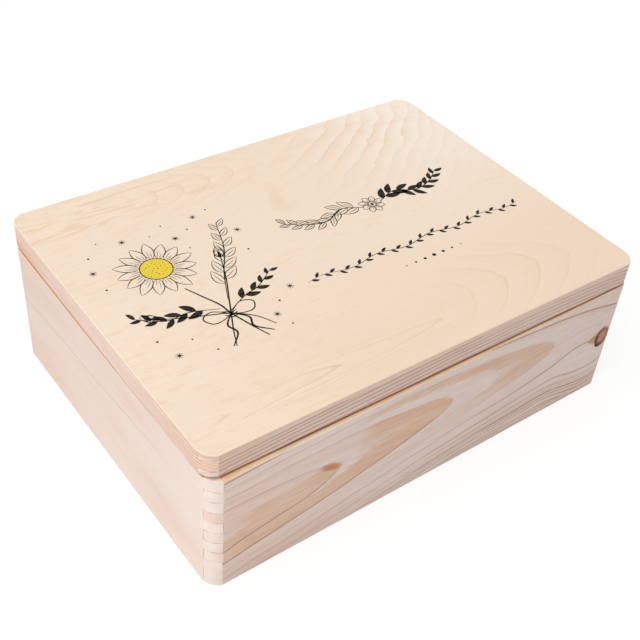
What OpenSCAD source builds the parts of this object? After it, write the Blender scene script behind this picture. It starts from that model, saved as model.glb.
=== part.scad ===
// Keepsake box of pine boards with finger-jointed corners, a plywood base and a
// hinged lid: a plywood panel on a finger-jointed pine frame.
// The front faces -Y, +Z is up and the origin is the middle of the underside.

/* [Box] */
// Outside length of the box
box_l = 400; // [300:1:450]
// Outside depth of the box, front to back
box_w = 300; // [220:1:350]
// Height of the box walls
wall_h = 111; // [105:1:140]
// Thickness of the walls and of the lid's rails
wall_t = 10; // [9:0.5:12]
// Radius of the upright corners
corner_r = 15.2; // [13:0.1:16]
// Depth planed off the front and the back after the corners are rounded, which leaves a crease
face_cut = 1; // [1:0.1:1.4]
// Radius that the outer edges are sanded to
edge_r = 0.8; // [0.4:0.1:1.2]

/* [Base] */
// Thickness of the plywood base
base_t = 4; // [3:0.5:6]
// How far the base is let into the walls
base_let_in = 4.5; // [3:0.5:4.5]

/* [Finger joints] */
// Height of one finger of the box corners
finger_h = 10.5; // [8:0.5:11]
// Number of fingers up a box corner, a side wall's at the top
fingers = 10; // [6:2:10]
// Height of the side rail's finger in the lid's corners
lid_finger_h = 8; // [5:0.5:9]
// Height of that finger above the lid's lower edge
lid_finger_z = 5.5; // [3:0.5:6]

/* [Lid] */
// How much longer the lid is than the box
lid_over_l = 1; // [0:0.5:2]
// How much shallower the lid is than the box
lid_under_w = 1; // [0:0.5:3]
// Height of the lid's rails
rail_h = 16.5; // [16:0.5:30]
// Thickness of the plywood panel on the rails
panel_t = 4; // [3:0.5:6]
// Seam between the box and the closed lid
seam = 2; // [1.6:0.1:2.4]
// How far back the lid sits on the box
lid_back = 1.4; // [0:0.1:1.5]
// How far the lid is hung out of square, in degrees
lid_skew = 0.5; // [0:0.1:0.5]

/* [Hinges] */
// Distance of each hinge's middle from the middle of the box
hinge_x = 125; // [60:1:128]
// Length of a hinge
hinge_l = 30; // [28:1:40]
// Number of knuckles, the outer ones on the box leaf
knuckles = 5; // [3:2:5]
// Thickness of a leaf
leaf_t = 0.9; // [0.6:0.1:0.9]
// Distance of the hinge pin behind the box
pin_back = 4.3; // [4.3:0.1:5]
// Outer radius of a knuckle
knuckle_r = 2; // [1.6:0.1:2]
// Radius of the hinge pin
pin_r = 0.8; // [0.6:0.05:0.9]

/* [Screws] */
// Radius of a screw's shank
screw_r = 1.05; // [0.8:0.05:1.2]
// Radius of a screw's countersunk head
screw_head_r = 2; // [1.7:0.1:2.2]
// Length of a screw
screw_l = 10; // [8:0.5:12]
// Distance of each screw from the middle of its hinge
screw_x = 9; // [8:0.5:11]
// Distance of the screws in from the back of the box
screw_in = 4; // [3.5:0.5:5]

/* [Hidden] */

$fn = 64;
// Overshoot that keeps a cutter's faces off the faces that it cuts
over = 1;
// Running clearance of the pin and the screws in their holes
fit_gap = 0.05;

// Height of the lid's lower edge above the underside of the box, and of the whole lid
rail_z = wall_h + seam;
lid_h = rail_h + panel_t;

lid_l = box_l + lid_over_l;
lid_w = box_w - lid_under_w;

// The base's length and depth
base_l = box_l - 2 * (wall_t - base_let_in);
base_w = box_w - 2 * (wall_t - base_let_in);

// Spans in height of the side wall's and the side rail's fingers
box_spans = [for (i = [0:2:fingers - 1]) [wall_h - (i + 1) * finger_h, wall_h - i * finger_h]];
lid_spans = [[lid_finger_z, lid_finger_z + lid_finger_h]];

// Hinge axis, leaves and screws
axis_y = box_w / 2 + pin_back;
axis_z = wall_h + seam / 2;
knuckle_gap = 0.15;
knuckle_l = hinge_l / knuckles;
// Gap between a leaf's edge and the other leaf's knuckles
leaf_clear = 0.3;
// Distance of a leaf's edge from the inner face of the back wall
leaf_inset = 2.5;
leaf_back_y = axis_y - knuckle_r - leaf_clear;
leaf_front_y = box_w / 2 - wall_t + leaf_inset;
leaf_corner_r = 1.5;
pin_head_r = 1.3;
pin_head_l = 0.8;
screw_y = box_w / 2 - screw_in;
screw_head_h = 0.85;
slot_l = 2.4;
slot_w = 0.5;
slot_depth = 0.5;

pine = "#DDBE9C";
pine_dark = "#D2AE8A";
birch = "#F0DCBE";
brass = "#C9A550";

// ---- shapes that repeat ----

// Rectangle w wide and h high on the X axis, with its four corners rounded to radius e
module eased_rect(w, h, e) {
    translate([-w / 2 + e, 0]) square([w - 2 * e, h]);
    translate([-w / 2, e]) square([w, h - 2 * e]);
    for (x = [-w / 2 + e, w / 2 - e], y = [e, h - e])
        translate([x, y]) circle(e);
}

// Block l by w by h with its upright corners rounded to radius r and its outer edges sanded
// to radius e
module round_block(l, w, h, r, e) {
    rotate([90, 0, 0])
        translate([0, 0, -(w / 2 - r)])
            linear_extrude(w - 2 * r) eased_rect(l, h, e);
    rotate([90, 0, 90])
        translate([0, 0, -(l / 2 - r)])
            linear_extrude(l - 2 * r) eased_rect(w, h, e);
    for (x = [-l / 2 + r, l / 2 - r], y = [-w / 2 + r, w / 2 - r])
        translate([x, y, 0])
            rotate_extrude() intersection() {
                eased_rect(2 * r, h, e);
                square([r, h]);
            }
}

// Round block with its front and back planed down to depth w and sanded again
module planed_block(l, w, h) {
    intersection() {
        round_block(l, w + 2 * face_cut, h, corner_r, edge_r);
        rotate([90, 0, 90])
            translate([0, 0, -l / 2 - over])
                linear_extrude(l + 2 * over) eased_rect(w, h, edge_r);
    }
}

// Corner blocks t square in plan that a side board reaches into the long boards with
module corner_fingers(l, w, t, spans, sides) {
    for (sx = sides, sy = [-1, 1], s = spans)
        translate([sx * (l - t) / 2 - t / 2, sy * (w - t) / 2 - t / 2, s[0]])
            cube([t, t, s[1] - s[0]]);
}

// Board h high along the front (face -1) or the back (face 1) of a planed block
// whole_h high, less the side boards' fingers
module long_board(l, w, h, whole_h, face, spans) {
    difference() {
        intersection() {
            planed_block(l, w, whole_h);
            translate([-l / 2 - over, face * (w - wall_t) / 2 - wall_t / 2, 0])
                cube([l + 2 * over, wall_t, h]);
        }
        corner_fingers(l, w, wall_t, spans, [-1, 1]);
    }
}

// Board h high along the left (side -1) or the right (side 1) of a planed block
// whole_h high, with its fingers at both ends
module side_board(l, w, h, whole_h, side, spans) {
    intersection() {
        planed_block(l, w, whole_h);
        union() {
            translate([side * (l - wall_t) / 2 - wall_t / 2, -w / 2 + wall_t, 0])
                cube([wall_t, w - 2 * wall_t, h]);
            corner_fingers(l, w, wall_t, spans, [side]);
        }
    }
}

// Pocket in the walls that the plywood base is glued into
module base_pocket() {
    translate([-base_l / 2, -base_w / 2, -over])
        cube([base_l, base_w, base_t + over]);
}

// Puts a lid board where the lid hangs: back a little and slightly out of square
module lid_place() {
    translate([0, lid_back, 0]) rotate([0, 0, -lid_skew]) children();
}

// Repeats a shape at the four screws of the two hinges
module at_screws() {
    for (hx = [-hinge_x, hinge_x], dx = [-screw_x, screw_x])
        translate([hx + dx, screw_y, 0]) children();
}

// Countersunk screw, head up, with its flat face on the XY plane
module screw() {
    difference() {
        rotate_extrude() polygon([
            [0, 0],
            [screw_head_r, 0],
            [screw_r, -screw_head_h],
            [screw_r, -screw_l + 2 * screw_r],
            [0, -screw_l]
        ]);
        for (turn = [0, 90])
            rotate([0, 0, turn])
                translate([-slot_l / 2, -slot_w / 2, -slot_depth])
                    cube([slot_l, slot_w, slot_depth + over]);
    }
}

// Hole for a screw's shank in the wood, from z = 0 down
module screw_hole() {
    translate([0, 0, -screw_l - fit_gap])
        cylinder(h = screw_l + fit_gap + over, r = screw_r + fit_gap);
}

// Countersunk hole through a leaf whose outer face is on the XY plane
module leaf_hole() {
    rotate_extrude() polygon([
        [0, over],
        [screw_head_r + fit_gap, over],
        [screw_head_r + fit_gap, 0],
        [screw_r + fit_gap, -screw_head_h],
        [screw_r + fit_gap, -leaf_t - over],
        [0, -leaf_t - over]
    ]);
}

// Hinge leaf lying on the XY plane at the box's place in X and Y, with the given knuckles.
// The knuckles' axis is dz above the plane.
module leaf(dz, own) {
    difference() {
        union() {
            linear_extrude(leaf_t) {
                translate([-hinge_l / 2, leaf_front_y + leaf_corner_r])
                    square([hinge_l, leaf_back_y - leaf_front_y - leaf_corner_r]);
                translate([-hinge_l / 2 + leaf_corner_r, leaf_front_y])
                    square([hinge_l - 2 * leaf_corner_r, leaf_corner_r]);
                for (sx = [-1, 1])
                    translate([sx * (hinge_l / 2 - leaf_corner_r), leaf_front_y + leaf_corner_r])
                        circle(leaf_corner_r);
            }
            for (i = own)
                translate([-hinge_l / 2 + i * knuckle_l + knuckle_gap, 0, 0]) {
                    translate([0, leaf_back_y - over, 0])
                        cube([knuckle_l - 2 * knuckle_gap, axis_y - leaf_back_y + over, leaf_t]);
                    translate([0, axis_y, dz])
                        rotate([0, 90, 0])
                            cylinder(h = knuckle_l - 2 * knuckle_gap, r = knuckle_r);
                }
        }
        translate([-hinge_l / 2 - over, axis_y, dz])
            rotate([0, 90, 0])
                cylinder(h = hinge_l + 2 * over, r = pin_r + fit_gap);
        for (dx = [-screw_x, screw_x])
            translate([dx, screw_y, leaf_t]) leaf_hole();
    }
}

// Leaf screwed to the top of the back wall, with the outer knuckles
module box_leaf(hx) {
    color(brass) translate([hx, 0, wall_h]) leaf(seam / 2, [0:2:knuckles - 1]);
}

// Leaf screwed under the lid's back rail, with the knuckles between
module lid_leaf(hx) {
    color(brass)
        translate([hx, 0, rail_z])
            mirror([0, 0, 1]) leaf(seam / 2, [1:2:knuckles - 2]);
}

// Hinge pin with a flat head at each end
module hinge_pin(hx) {
    head_x = hinge_l / 2;
    color(brass)
        translate([hx, axis_y, axis_z])
            rotate([0, 90, 0])
                rotate_extrude() polygon([
                    [0, -head_x - pin_head_l],
                    [pin_head_r, -head_x - pin_head_l],
                    [pin_head_r, -head_x],
                    [pin_r, -head_x],
                    [pin_r, head_x],
                    [pin_head_r, head_x],
                    [pin_head_r, head_x + pin_head_l],
                    [0, head_x + pin_head_l]
                ]);
}

// ---- sub-parts ----

module front_wall() {
    color(pine) difference() {
        long_board(box_l, box_w, wall_h, wall_h, -1, box_spans);
        base_pocket();
    }
}

module back_wall() {
    color(pine) difference() {
        long_board(box_l, box_w, wall_h, wall_h, 1, box_spans);
        base_pocket();
        translate([0, 0, wall_h]) at_screws() screw_hole();
    }
}

module left_wall() {
    color(pine_dark) difference() {
        side_board(box_l, box_w, wall_h, wall_h, -1, box_spans);
        base_pocket();
    }
}

module right_wall() {
    color(pine_dark) difference() {
        side_board(box_l, box_w, wall_h, wall_h, 1, box_spans);
        base_pocket();
    }
}

module base_panel() {
    color(birch)
        translate([-base_l / 2, -base_w / 2, 0])
            cube([base_l, base_w, base_t]);
}

module lid_panel() {
    color(birch) lid_place() translate([0, 0, rail_z]) intersection() {
        planed_block(lid_l, lid_w, lid_h);
        translate([-lid_l / 2 - over, -lid_w / 2 - over, rail_h])
            cube([lid_l + 2 * over, lid_w + 2 * over, panel_t + over]);
    }
}

module lid_front_rail() {
    color(pine) lid_place() translate([0, 0, rail_z])
        long_board(lid_l, lid_w, rail_h, lid_h, -1, lid_spans);
}

module lid_back_rail() {
    color(pine) difference() {
        lid_place() translate([0, 0, rail_z])
            long_board(lid_l, lid_w, rail_h, lid_h, 1, lid_spans);
        translate([0, 0, rail_z]) mirror([0, 0, 1]) at_screws() screw_hole();
    }
}

module lid_left_rail() {
    color(pine_dark) lid_place() translate([0, 0, rail_z])
        side_board(lid_l, lid_w, rail_h, lid_h, -1, lid_spans);
}

module lid_right_rail() {
    color(pine_dark) lid_place() translate([0, 0, rail_z])
        side_board(lid_l, lid_w, rail_h, lid_h, 1, lid_spans);
}

module left_hinge_box_leaf() {
    box_leaf(-hinge_x);
}

module left_hinge_lid_leaf() {
    lid_leaf(-hinge_x);
}

module left_hinge_pin() {
    hinge_pin(-hinge_x);
}

module right_hinge_box_leaf() {
    box_leaf(hinge_x);
}

module right_hinge_lid_leaf() {
    lid_leaf(hinge_x);
}

module right_hinge_pin() {
    hinge_pin(hinge_x);
}

module box_hinge_screws() {
    color(brass) translate([0, 0, wall_h + leaf_t]) at_screws() screw();
}

module lid_hinge_screws() {
    color(brass) translate([0, 0, rail_z - leaf_t]) mirror([0, 0, 1]) at_screws() screw();
}

front_wall();
back_wall();
left_wall();
right_wall();
base_panel();
lid_panel();
lid_front_rail();
lid_back_rail();
lid_left_rail();
lid_right_rail();
left_hinge_box_leaf();
left_hinge_lid_leaf();
left_hinge_pin();
right_hinge_box_leaf();
right_hinge_lid_leaf();
right_hinge_pin();
box_hinge_screws();
lid_hinge_screws();
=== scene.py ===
"""A pine keepsake box with a plywood lid: finishes, printed ornament and stage."""

import math

import bpy
import numpy as np
from bpy.props import FloatProperty, FloatVectorProperty, PointerProperty
from bpy.types import Operator, Panel, PropertyGroup
from mathutils import Matrix, Vector


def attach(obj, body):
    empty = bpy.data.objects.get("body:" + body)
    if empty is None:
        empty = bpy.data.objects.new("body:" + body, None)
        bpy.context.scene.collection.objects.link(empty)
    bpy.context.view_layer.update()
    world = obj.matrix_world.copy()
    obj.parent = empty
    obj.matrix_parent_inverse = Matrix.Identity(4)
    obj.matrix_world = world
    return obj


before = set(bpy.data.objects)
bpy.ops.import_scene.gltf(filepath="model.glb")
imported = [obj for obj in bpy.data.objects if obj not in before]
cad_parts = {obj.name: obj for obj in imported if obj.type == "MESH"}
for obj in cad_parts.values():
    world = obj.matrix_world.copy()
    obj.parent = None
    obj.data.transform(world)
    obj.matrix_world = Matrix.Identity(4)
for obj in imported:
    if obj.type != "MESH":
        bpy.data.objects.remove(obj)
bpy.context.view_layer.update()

bl_info = {
    "name": "Keepsake box",
    "version": (1, 0, 0),
    "blender": (4, 5, 0),
    "location": "3D View > Sidebar > Keepsake box",
    "description": "Finishes the boards, lid and hinges of a keepsake box and sets its stage",
    "category": "Object",
}

MM = 0.001

# The box, in millimetres, as its solids have it.
BOX_L, BOX_W, WALL_H, BOARD = 400.0, 300.0, 111.0, 10.0
FINGER_H, LAST_SEAM = 10.5, 9
LID_L, LID_W, LID_BACK, LID_SKEW = 401.0, 299.0, 1.4, math.radians(0.5)
PLY_LOW, PLY_T, PLIES = 129.5, 4.0, 3
LID_TOP = PLY_LOW + PLY_T
LID_FINGER = (118.5, 126.5)


def shade(red, green, blue):
    """A colour written as 0 to 255 display values, turned to linear light."""
    level = np.array((red, green, blue)) / 255
    linear = np.where(level <= 0.04045, level / 12.92, ((level + 0.055) / 1.055) ** 2.4)
    return (*(float(v) for v in linear), 1.0)


def tint(name, description, *default):
    """A colour setting. Its default is written as for shade."""
    return FloatVectorProperty(
        name=name,
        description=description,
        subtype="COLOR",
        size=4,
        min=0,
        max=1,
        default=shade(*default),
    )


def number(name, description, default, low, high, **kind):
    """A number setting with its limits and its unit or subtype."""
    return FloatProperty(
        name=name, description=description, default=default, min=low, max=high, **kind
    )


# Node trees


def operator(operation, swapped=False):
    """A method for one of Python's operators that places a Math node."""

    def place(self, other):
        pair = (other, self) if swapped else (self, other)
        return self.bench.maths(operation, *pair)

    return place


class Value:
    """A node's output. Sums written with it place Math nodes on its bench."""

    def __init__(self, bench, socket):
        self.bench, self.socket = bench, socket

    __add__, __radd__ = operator("ADD"), operator("ADD", True)
    __sub__, __rsub__ = operator("SUBTRACT"), operator("SUBTRACT", True)
    __mul__, __rmul__ = operator("MULTIPLY"), operator("MULTIPLY", True)
    __truediv__ = operator("DIVIDE")

    def __abs__(self):
        return self.bench.maths("ABSOLUTE", self)


class Bench:
    """A node tree with a short call for each kind of node that the finishes use."""

    def __init__(self, tree):
        self.tree = tree
        self.count = 0

    def node(self, kind, **settings):
        made = self.tree.nodes.new(kind)
        made.location = (190 * (self.count % 12), -230 * (self.count // 12))
        self.count += 1
        for key, value in settings.items():
            setattr(made, key, value)
        return made

    def find(self, kind):
        return next(node for node in self.tree.nodes if node.type == kind)

    def named(self, node):
        """A node's outputs by name."""
        return {socket.name: Value(self, socket) for socket in node.outputs}

    def feed(self, socket, value):
        """Links an output to a socket, or sets the socket to a plain value."""
        if isinstance(value, Value):
            self.tree.links.new(value.socket, socket)
        else:
            socket.default_value = value

    def feed_all(self, node, values):
        """Feeds a node's inputs in their order and gives its first output."""
        for socket, value in zip(node.inputs, values):
            self.feed(socket, value)
        return Value(self, node.outputs[0])

    def maths(self, operation, *values):
        return self.feed_all(self.node("ShaderNodeMath", operation=operation), values)

    def split(self, vector):
        made = self.node("ShaderNodeSeparateXYZ")
        self.feed(made.inputs[0], vector)
        return [Value(self, socket) for socket in made.outputs]

    def join(self, x, y, z):
        return self.feed_all(self.node("ShaderNodeCombineXYZ"), (x, y, z))

    def step(self, value, low, high, to_low=0.0, to_high=1.0):
        """A smooth step from to_low, at low, to to_high, at high."""
        made = self.node("ShaderNodeMapRange", interpolation_type="SMOOTHSTEP")
        return self.feed_all(made, (value, low, high, to_low, to_high))

    def drop(self, value, low, high):
        """A smooth step down from 1, at low, to 0, at high."""
        return self.step(value, low, high, 1.0, 0.0)

    def hill(self, value, centre, reach):
        """1 at the centre, falling smoothly to 0 at the reach on both sides."""
        return self.drop(abs(value - centre), 0.0, reach)

    def noise(self, vector, scale, detail=2.0, rough=0.5, twist=0.0):
        made = self.node("ShaderNodeTexNoise", noise_dimensions="3D")
        self.feed(made.inputs["Vector"], vector)
        self.feed(made.inputs["Scale"], scale)
        self.feed(made.inputs["Detail"], detail)
        self.feed(made.inputs["Roughness"], rough)
        self.feed(made.inputs["Distortion"], twist)
        return Value(self, made.outputs[0])

    def stretch(self, vector, x, y, z):
        made = self.node("ShaderNodeVectorMath", operation="MULTIPLY")
        return self.feed_all(made, (vector, (x, y, z)))

    def streaks(self, point, along, across, detail=2.0, rough=0.5, twist=0.0):
        """Noise with so many waves to the millimetre along the grain and across it."""
        return self.noise(self.stretch(point, along, across, across), 1.0, detail, rough, twist)

    def blend(self, factor, first, second, how="MIX"):
        made = self.node("ShaderNodeMix", data_type="RGBA", blend_type=how)
        self.feed(made.inputs[0], factor)
        self.feed(made.inputs[6], first)
        self.feed(made.inputs[7], second)
        return Value(self, made.outputs[2])

    def use(self, name, **values):
        """Places a shared node group, feeds its inputs by name and gives its outputs by name."""
        made = self.node("ShaderNodeGroup", node_tree=bpy.data.node_groups[name])
        for key, value in values.items():
            self.feed(made.inputs[key.replace("_", " ").title()], value)
        return self.named(made)


class Finish(Bench):
    """The bench of a material, with the colour that its layers build up for its shader."""

    def __init__(self, name, colour):
        self.colour = colour
        self.material = bpy.data.materials.new(name)
        self.material.use_nodes = True
        super().__init__(self.material.node_tree)
        self.shader = self.find("BSDF_PRINCIPLED")
        self.shader.location = (2400, 300)
        self.coords = self.named(self.node("ShaderNodeTexCoord"))

    def cover(self, factor, layer, how="MIX"):
        """Blends a layer over the finish's colour so far."""
        self.colour = self.blend(factor, self.colour, layer, how)

    def point_from(self, place, turn):
        """The surface point in millimetres about a place on the floor, along axes turned so."""
        made = self.node("ShaderNodeMapping", vector_type="TEXTURE")
        made.inputs["Location"].default_value = (place[0] * MM, place[1] * MM, 0)
        made.inputs["Rotation"].default_value = (0, 0, turn)
        made.inputs["Scale"].default_value = (MM, MM, MM)
        self.feed(made.inputs["Vector"], self.coords["Object"])
        return Value(self, made.outputs[0])

    def lid_point(self):
        """The surface point in millimetres about the lid's middle, turned as the lid lies."""
        return self.point_from((0, LID_BACK), -LID_SKEW)

    def millimetres(self):
        """The surface point in millimetres about the scene's origin."""
        return self.stretch(self.coords["Object"], 1 / MM, 1 / MM, 1 / MM)

    def shine(self, rough, specular):
        """Feeds the shader its colour, its roughness and its specular level."""
        self.feed(self.shader.inputs["Base Color"], self.colour)
        self.feed(self.shader.inputs["Roughness"], rough)
        self.shader.inputs["Specular IOR Level"].default_value = specular

    def paint(self, rough, specular, relief, depth):
        """Feeds the shader, with a bump whose depth is in millimetres, and gives the material."""
        self.shine(rough, specular)
        made = self.node("ShaderNodeBump")
        made.inputs["Strength"].default_value = 1.0
        made.inputs["Distance"].default_value = depth * MM
        self.feed(made.inputs["Height"], relief)
        self.tree.links.new(made.outputs["Normal"], self.shader.inputs["Normal"])
        return self.material


def new_group(name, inputs, outputs):
    """A node group. Each input has its default, or None for a vector. Outputs are numbers."""
    tree = bpy.data.node_groups.new(name, "ShaderNodeTree")
    for title, default in inputs.items():
        kind = "NodeSocketVector" if default is None else "NodeSocketFloat"
        made = tree.interface.new_socket(title, in_out="INPUT", socket_type=kind)
        if default is not None:
            made.default_value = default
    for title in outputs:
        tree.interface.new_socket(title, in_out="OUTPUT", socket_type="NodeSocketFloat")
    bench = Bench(tree)
    given = bench.named(bench.node("NodeGroupInput"))
    return bench, given, bench.node("NodeGroupOutput").inputs


def make_groups():
    """The effects that several finishes share."""
    # Fine fibres: noise drawn out along the grain, which is the point's first axis.
    bench, given, out = new_group(
        "wood_fibre", {"Point": None, "Length": 60.0, "Width": 0.8}, ("Streak", "Fine", "Patch")
    )
    along, across, deep = bench.split(given["Point"])
    for title, long, wide, detail in (
        ("Streak", 1.0, 1.0, 3.0),
        ("Fine", 0.3, 0.35, 1.0),
        ("Patch", 1.1, 22.0, 2.0),
    ):
        length, width = given["Length"] * long, given["Width"] * wide
        point = bench.join(along / length, across / width, deep / width)
        bench.feed(out[title], bench.noise(point, 1.0, detail, 0.55))

    # Growth rings: pale wood that turns tan towards the end of each year, then a dark line.
    bench, given, out = new_group(
        "year_rings",
        {"Rings": 0.0, "Late Start": 0.6, "Blur": 0.25, "Line Start": 0.74},
        ("Tan", "Line"),
    )
    late, blur = given["Late Start"], given["Blur"]
    year = bench.maths("FRACT", given["Rings"])
    ended = bench.drop(year, 0.96, 1.0)
    bench.feed(out["Tan"], bench.step(year, late - blur, late + blur) * ended)
    bench.feed(out["Line"], bench.step(year, given["Line Start"], 0.95) * ended)

    # A knot: distance from its heart in knot radii, with a dark rim round a reddish core.
    bench, given, out = new_group(
        "knot",
        {"Point": None, "Along": 0.0, "Up": 0.0, "Half Length": 7.0, "Half Height": 10.0},
        ("Core", "Rim", "Rings"),
    )
    along, across, _ = bench.split(given["Point"])
    east = (along - given["Along"]) / given["Half Length"]
    north = (across - given["Up"]) / given["Half Height"]
    crook = bench.noise(given["Point"], 0.22) - 0.5
    away = bench.maths("SQRT", east * east + north * north) + crook * 0.5
    heavy = bench.step(east + north * 0.6, -0.9, 0.9, 1.0, 0.45)
    rim = bench.step(away, 0.46, 0.74) * bench.drop(away, 0.98, 1.12)
    bench.feed(out["Core"], bench.drop(away, 0.92, 1.02))
    bench.feed(out["Rim"], rim * heavy)
    bench.feed(out["Rings"], bench.maths("SINE", away * 17.0))

    # Seams of the finger joints: fine dark lines where one board's fingers meet the other's.
    bench, given, out = new_group(
        "finger_seams",
        {
            "Point": None,
            "Half Length": 200.0,
            "Board": 10.0,
            "Own Finger": 0.0,
            "Level": 5.0,
            "Seam": 0.35,
        },
        ("Seam", "Corner"),
    )
    along, _, deep = bench.split(given["Point"])
    reach, own, width = abs(along), given["Own Finger"], given["Seam"]
    start = given["Half Length"] - given["Board"]
    corner = bench.step(reach, start - 1.0, start + 0.4)
    shoulder = bench.hill(reach, start, width) * (1.0 - own)
    level = bench.hill(given["Level"], 0.0, width) * corner
    inner = bench.hill(deep, given["Board"], width) * own * corner
    seam = bench.maths("MAXIMUM", bench.maths("MAXIMUM", shoulder, level), inner)
    bench.feed(out["Seam"], seam)
    bench.feed(out["Corner"], corner)

    # End grain: where the face looks along the fibres.
    bench, given, out = new_group("end_grain", {"Normal": None, "Turn": 0.0}, ("End",))
    east, north, _ = bench.split(given["Normal"])
    cosine, sine = (bench.maths(name, given["Turn"]) for name in ("COSINE", "SINE"))
    bench.feed(out["End"], bench.step(abs(east * cosine + north * sine), 0.28, 0.8))

    # Small scratches and tarnish on the hinges' metal.
    bench, given, out = new_group(
        "metal_wear", {"Point": None, "Grit": 1.0}, ("Tarnish", "Scratch")
    )
    cloud = bench.noise(given["Point"], 0.35, 4.0, 0.6)
    hair = bench.streaks(given["Point"], 0.15, 6.0)
    bench.feed(out["Tarnish"], bench.step(cloud, 0.45, 0.75) * given["Grit"])
    bench.feed(out["Scratch"], bench.step(hair, 0.5, 0.8) * given["Grit"])


def wear(node, made):
    """Puts a finish on a CAD node in place of its plain one."""
    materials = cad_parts[node].data.materials
    materials.clear()
    materials.append(made)


# Pine


class PineSettings(PropertyGroup):
    """Colours of the bare pine boards."""

    pale: tint("Pale wood", "Spring growth, most of each board", 240, 221, 210)
    tan: tint("Tan wood", "Late growth, in the tongues of the figure", 230, 190, 160)
    line: tint("Ring line", "The dark edge of each year's growth", 182, 136, 112)
    end: tint("End grain", "The pale ends of the joint fingers", 245, 229, 219)
    knot: tint("Knot rim", "The bark-coloured rim of a knot", 86, 36, 16)
    seam: tint("Joint seam", "The fine line where two boards meet", 186, 122, 84)


# How fast the tongues' rings lean away with the depth below the face.
DEPTH_PULL = 18.0
SEAM_WIDTH = 0.42

# The front wall, in millimetres from the middle of its foot. A ring's parabola is its height above
# the tongue's middle squared over the focal length.
FRONT_FOCAL = 6.7
KNOT = (183.0, 59.0, 7.5, 10.5)
RESIN = (-101.0, 70.0)
# Its rings along the tongue's middle: where the tan starts, where the year ends, how strong the
# tan is, the line on the lower and the upper arm, and how soft the tan's edge is.
FRONT_RINGS = (
    (-290.0, -215.0, 0.45, 0.30, 0.20, 1.0),
    (-172.0, -92.0, 0.85, 0.75, 0.30, 0.9),
    (-66.0, 12.0, 0.95, 0.80, 0.24, 1.2),
    (68.0, 120.0, 0.80, 0.35, 0.15, 3.5),
    (196.0, 225.0, 0.30, 0.85, 0.70, 1.5),
)
# The rings outside those, close together low on the right: where each year ends, and its line.
OUTER_RINGS = (
    (382.0, 0.60), (485.0, 0.42), (540.0, 0.22), (593.0, 0.95), (655.0, 0.52),
    (725.0, 0.58), (821.0, 0.58), (884.0, 0.42), (951.0, 0.48), (1020.0, 0.40),
)


def knot_lift(bench, along, up):
    """How far the front wall's rings are lifted off their parabolas, in millimetres.
    They rise beside the knot, dip under it and make two gentle waves before it.
    """
    beside = bench.hill(along, 150.0, 30.0) * bench.hill(up, 60.0, 22.0) * 4.6
    under = bench.hill(along, 176.0, 56.0) * bench.drop(up, 42.0, 51.0) * -10.8
    near = bench.hill(along, 80.0, 62.0) * bench.hill(up, 45.0, 14.0) * -2.0
    far = bench.hill(along, 30.0, 80.0) * bench.hill(up, 14.0, 24.0) * 2.5
    return beside + under + near + far


def front_figure(bench, point, along, up, deep):
    """The figure of the front wall: nested tongues that point right.
    Each ring is a parabola about a middle that climbs from left to right.
    """
    sway = bench.streaks(point, 0.012, 0.05) - 0.5
    tooth = bench.streaks(point, 0.06, 0.75, 3.0, 0.6) - 0.5
    middle = 74.6 + along * 0.061 + along * along * -0.000216
    height = up - middle - knot_lift(bench, along, up)
    # At the left end the lower arms run flatter than a parabola.
    flatter = bench.step(along, -205.0, -105.0, -8.5, 0.0) * bench.step(up, 18.0, 40.0, 0.5, 1.0)
    height = height + flatter * bench.drop(height, -14.0, -5.0) + sway * 5.0
    steep = bench.maths("SQRT", 1.0 + height * height * (2 / FRONT_FOCAL) ** 2)
    radial = (height * height + deep * DEPTH_PULL) * (1 / FRONT_FOCAL)
    ring = radial + along + tooth * 7.0
    lower = bench.drop(height, -22.0, -4.0)
    upper_left = bench.step(height, 4.0, 14.0) * bench.drop(along, -84.0, -56.0)
    ragged = ring + tooth * 75.0 + lower * 30.0
    arm = bench.step(abs(height), 3.0, 14.0, 0.25, 1.0)
    below = bench.drop(height, -3.0, 3.0)
    # The tan is laid down in fine layers, and the outer tongues' lower arms fade to the left.
    layers = bench.step(bench.streaks(point, 0.025, 0.9), 0.3, 0.7, 0.65, 1.3)
    fade = 1.0 - lower * bench.step(along, 0.0, 120.0, 0.9, 0.35)
    tan = line = 0.0
    for start, end, tan_share, low_line, high_line, soft_edge in FRONT_RINGS:
        # Millimetres past the year's end, square to the ring.
        past = (ring - end) / steep
        ended = bench.drop(past, -soft_edge, soft_edge)
        body = bench.step(ragged, start - 12.0, start + 12.0) * ended * tan_share
        share = high_line + below * (low_line - high_line)
        if end > 50.0:
            body, share = body * fade, share * (fade + 0.3)
        tan = tan + body
        line = line + bench.hill(past, -0.5, 1.5) * arm * share
    outer = soft = 0.0
    for end, share in OUTER_RINGS:
        past = (ring - end) / steep
        outer = outer + bench.hill(past, 0.0, 1.3) * share
        soft = soft + bench.hill(past, -1.1, 2.4) * share
    patches = bench.step(bench.streaks(point, 0.008, 0.3, 1.0), 0.3, 0.65, 0.6, 1.25)
    shown = bench.step(along, -120.0, 90.0, 0.35, 1.0) * patches
    whole = bench.step(along, -200.0, -70.0, 0.78, 1.0)
    tan = tan * layers * (1.0 - upper_left * 0.8) * whole
    # The left end is tanner all over, most of all along its foot.
    end_tan = bench.step(along, -190.0, -120.0, 0.34, 0.0) * bench.hill(up, 60.0, 48.0)
    foot = bench.drop(along, -180.0, -40.0) * bench.drop(up, 6.0, 28.0)
    tan = tan + end_tan + foot * 0.26 + soft * shown * 0.40
    return tan, line + outer * shown * 1.15 + foot * 0.12


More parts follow.
